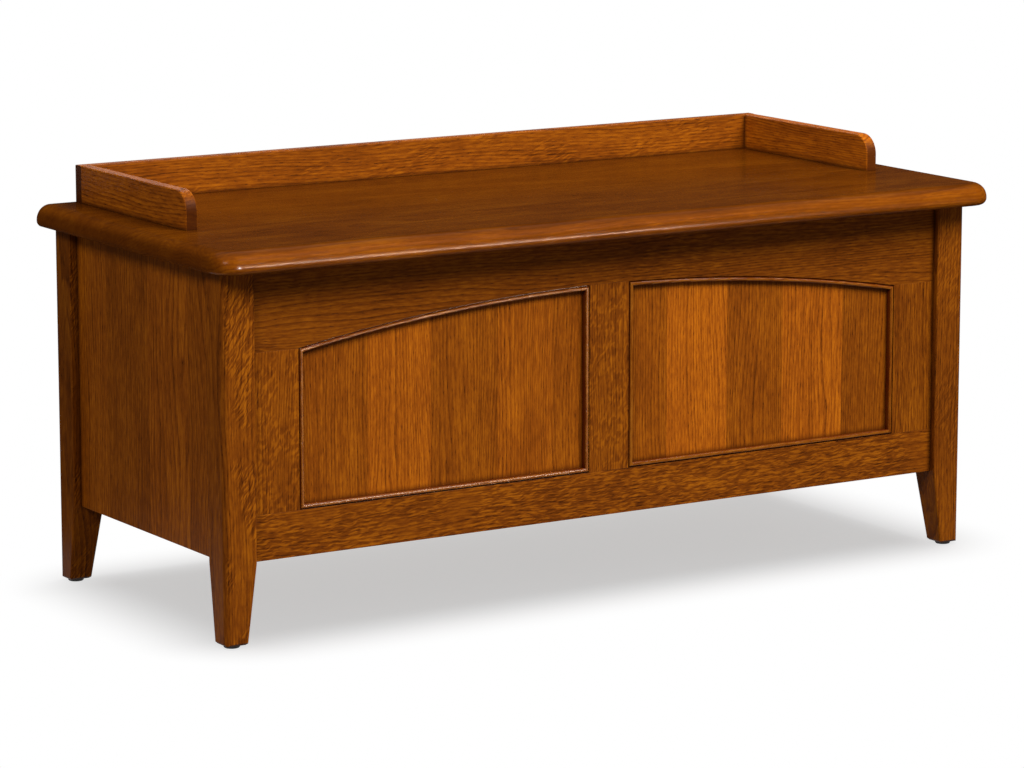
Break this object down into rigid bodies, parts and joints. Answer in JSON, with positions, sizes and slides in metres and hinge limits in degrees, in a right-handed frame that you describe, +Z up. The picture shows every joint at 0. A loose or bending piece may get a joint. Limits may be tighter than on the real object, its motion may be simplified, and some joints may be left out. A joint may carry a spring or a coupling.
{
  "type": "blanket chest",
  "caption": "Wooden blanket chest on tapered legs: panelled front under one long arch, hinged lid on telescoping supports, low gallery round the back of the lid.",
  "frame": {"origin": "on the floor, under the middle of the chest's outline with the lid shut", "axes": "X along the chest, left to right as one faces it, -Y towards the front, +Z up"},
  "size_m": [1.096, 0.4716, 0.508],
  "materials": {
    "oak_show": "oak stained golden brown under satin lacquer",
    "oak_inside": "oak with a thin sealing coat",
    "antique_brass": "antique brass, satin",
    "black_steel": "black powder coat, satin",
    "plated_steel": "bright plated steel",
    "nylon": "moulded dark brown nylon"
  },
  "bodies": {
    "chest": {"back_bottom_rail": "oak_inside", "back_panel": "oak_inside", "back_top_rail": "oak_inside", "bead_moulding_left": "oak_show", "bead_moulding_right": "oak_show", "chest_floor": "oak_inside", "floor_cleat_front": "oak_inside", "floor_cleat_left": "oak_inside", "floor_cleat_rear": "oak_inside", "floor_cleat_right": "oak_inside", "floor_glide_front_left": "nylon", "floor_glide_front_right": "nylon", "floor_glide_rear_left": "nylon", "floor_glide_rear_right": "nylon", "front_bottom_rail": "oak_show", "front_centre_stile": "oak_show", "front_panel_left": "oak_show", "front_panel_right": "oak_show", "front_stile_left": "oak_show", "front_stile_right": "oak_show", "front_top_rail": "oak_show", "hinge_box_leaf_centre": "antique_brass", "hinge_box_leaf_left": "antique_brass", "hinge_box_leaf_right": "antique_brass", "hinge_box_screws": "antique_brass", "hinge_pin_centre": "antique_brass", "hinge_pin_left": "antique_brass", "hinge_pin_right": "antique_brass", "post_front_left": "oak_show", "post_front_right": "oak_show", "post_rear_left": "oak_show", "post_rear_right": "oak_show", "side_panel_left": "oak_show", "side_panel_right": "oak_show", "support_box_bracket_left": "black_steel", "support_box_bracket_right": "black_steel", "support_box_screws_left": "plated_steel", "support_box_screws_right": "plated_steel"},
    "lid": {"lid_top": "oak_show", "gallery_back": "oak_show", "gallery_left": "oak_show", "gallery_right": "oak_show", "hinge_lid_screws": "antique_brass", "hinge_lid_leaf_left": "antique_brass", "hinge_lid_leaf_centre": "antique_brass", "hinge_lid_leaf_right": "antique_brass", "support_lid_bracket_left": "black_steel", "support_lid_bracket_right": "black_steel", "support_lid_screws_left": "plated_steel", "support_lid_screws_right": "plated_steel"},
    "support_tube_left": {"support_tube_left": "black_steel"},
    "support_rod_left": {"support_rod_left": "plated_steel"},
    "support_tube_right": {"support_tube_right": "black_steel"},
    "support_rod_right": {"support_rod_right": "plated_steel"}
  },
  "joints": [
    {"name": "lid_hinge", "type": "hinge", "parent": "chest", "child": "lid", "pos_m": [0, 0.23175, 0.43575], "axis": [-1, 0, 0], "range_deg": [0, 85]},
    {"name": "tube_pivot_left", "type": "hinge", "parent": "chest", "child": "support_tube_left", "pos_m": [-0.4732, 0.1934, 0.28041], "axis": [-1, 0, 0], "range_deg": [0, 42.5]},
    {"name": "rod_pivot_left", "type": "hinge", "parent": "lid", "child": "support_rod_left", "pos_m": [-0.4732, 0.0722, 0.42375], "axis": [-1, 0, 0], "range_deg": [-42.5, 0]},
    {"name": "tube_pivot_right", "type": "hinge", "parent": "chest", "child": "support_tube_right", "pos_m": [0.4732, 0.1934, 0.28041], "axis": [-1, 0, 0], "range_deg": [0, 42.5]},
    {"name": "rod_pivot_right", "type": "hinge", "parent": "lid", "child": "support_rod_right", "pos_m": [0.4732, 0.0722, 0.42375], "axis": [-1, 0, 0], "range_deg": [-42.5, 0]}
  ],
  "couplings": [
    {"joint": "tube_pivot_left", "follows": "lid_hinge", "ratio": 0.5},
    {"joint": "rod_pivot_left", "follows": "lid_hinge", "ratio": -0.5},
    {"joint": "tube_pivot_right", "follows": "lid_hinge", "ratio": 0.5},
    {"joint": "rod_pivot_right", "follows": "lid_hinge", "ratio": -0.5}
  ]
}
